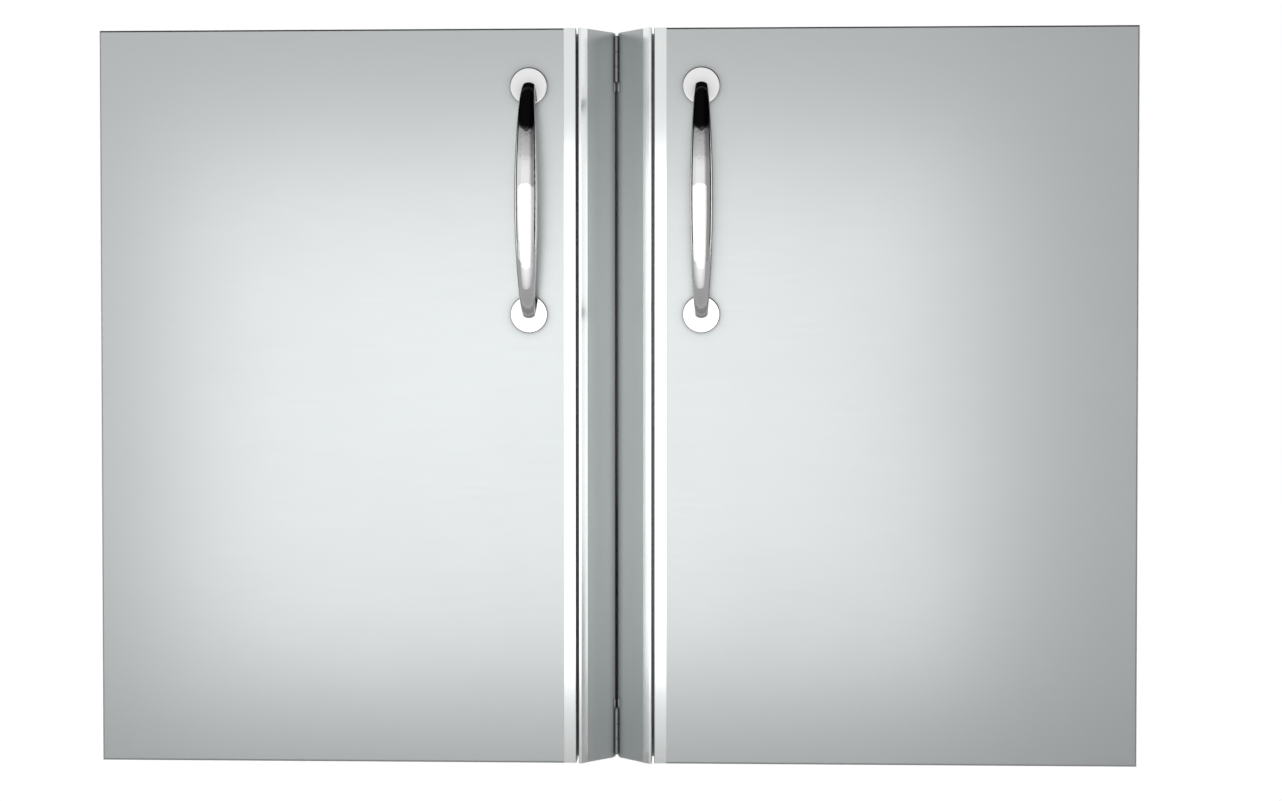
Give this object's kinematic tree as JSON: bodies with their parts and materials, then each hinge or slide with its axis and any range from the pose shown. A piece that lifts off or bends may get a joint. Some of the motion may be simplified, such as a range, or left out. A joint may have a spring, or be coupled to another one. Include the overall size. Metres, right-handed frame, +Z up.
{
  "type": "corner access door",
  "caption": "Corner access door for an outdoor kitchen island: overlay doors with bowed handles on frame halves that hinge at a V channel.",
  "frame": {"origin": "in the plane of the island's face, in the middle of the unit's width and height", "axes": "+X to the right seen from the front, +Y into the island, +Z up"},
  "size_m": [0.762, 0.1195, 0.54],
  "materials": {
    "door_steel": "satin",
    "frame_steel": "satin",
    "inner_steel": "mill",
    "hinge_steel": "satin",
    "polished_trim": "polished",
    "polished_handle": "polished",
    "fastener_steel": "plain",
    "catch_plastic": "matt",
    "magnet_ferrite": "matt",
    "bumper_rubber": "matt"
  },
  "bodies": {
    "left_frame": {"left_outer_stile": "frame_steel", "left_top_rail": "frame_steel", "left_bottom_rail": "frame_steel", "left_corner_post": "frame_steel", "left_post_end_caps": "frame_steel", "left_nose_trim": "polished_trim", "left_hinge_frame_leaf": "hinge_steel", "left_hinge_pin": "hinge_steel", "left_hinge_frame_rivets": "fastener_steel", "left_catch_housings": "catch_plastic", "left_catch_magnets": "magnet_ferrite", "left_catch_screws": "fastener_steel", "left_door_bumpers": "bumper_rubber", "left_corner_hinge_leaves": "hinge_steel", "corner_hinge_pins": "fastener_steel"},
    "left_door": {"left_door_skin": "door_steel", "left_door_edge_channel": "polished_trim", "left_door_liner": "inner_steel", "left_door_stiffener": "inner_steel", "left_handle_backing": "inner_steel", "left_handle": "polished_handle", "left_handle_rosettes": "polished_handle", "left_handle_screws": "fastener_steel", "left_hinge_door_leaf": "hinge_steel", "left_hinge_door_rivets": "fastener_steel", "left_strike_plates": "inner_steel", "left_strike_rivets": "fastener_steel"},
    "right_frame": {"right_outer_stile": "frame_steel", "right_top_rail": "frame_steel", "right_bottom_rail": "frame_steel", "right_corner_post": "frame_steel", "right_post_end_caps": "frame_steel", "right_nose_trim": "polished_trim", "right_hinge_frame_leaf": "hinge_steel", "right_hinge_pin": "hinge_steel", "right_hinge_frame_rivets": "fastener_steel", "right_catch_housings": "catch_plastic", "right_catch_magnets": "magnet_ferrite", "right_catch_screws": "fastener_steel", "right_door_bumpers": "bumper_rubber", "right_corner_hinge_leaves": "hinge_steel"},
    "right_door": {"right_door_skin": "door_steel", "right_door_edge_channel": "polished_trim", "right_door_liner": "inner_steel", "right_door_stiffener": "inner_steel", "right_handle_backing": "inner_steel", "right_handle": "polished_handle", "right_handle_rosettes": "polished_handle", "right_handle_screws": "fastener_steel", "right_hinge_door_leaf": "hinge_steel", "right_hinge_door_rivets": "fastener_steel", "right_strike_plates": "inner_steel", "right_strike_rivets": "fastener_steel"}
  },
  "joints": [
    {"name": "corner_fold", "type": "hinge", "parent": "left_frame", "child": "right_frame", "pos_m": [0, -0.0055, 0], "axis": [0, 0, -1], "range_deg": [0, 90]},
    {"name": "left_door_swing", "type": "hinge", "parent": "left_frame", "child": "left_door", "pos_m": [-0.3783, -0.0045, 0], "axis": [0, 0, -1], "range_deg": [0, 90]},
    {"name": "right_door_swing", "type": "hinge", "parent": "right_frame", "child": "right_door", "pos_m": [0.3783, -0.0045, 0], "axis": [0, 0, 1], "range_deg": [0, 90]}
  ]
}
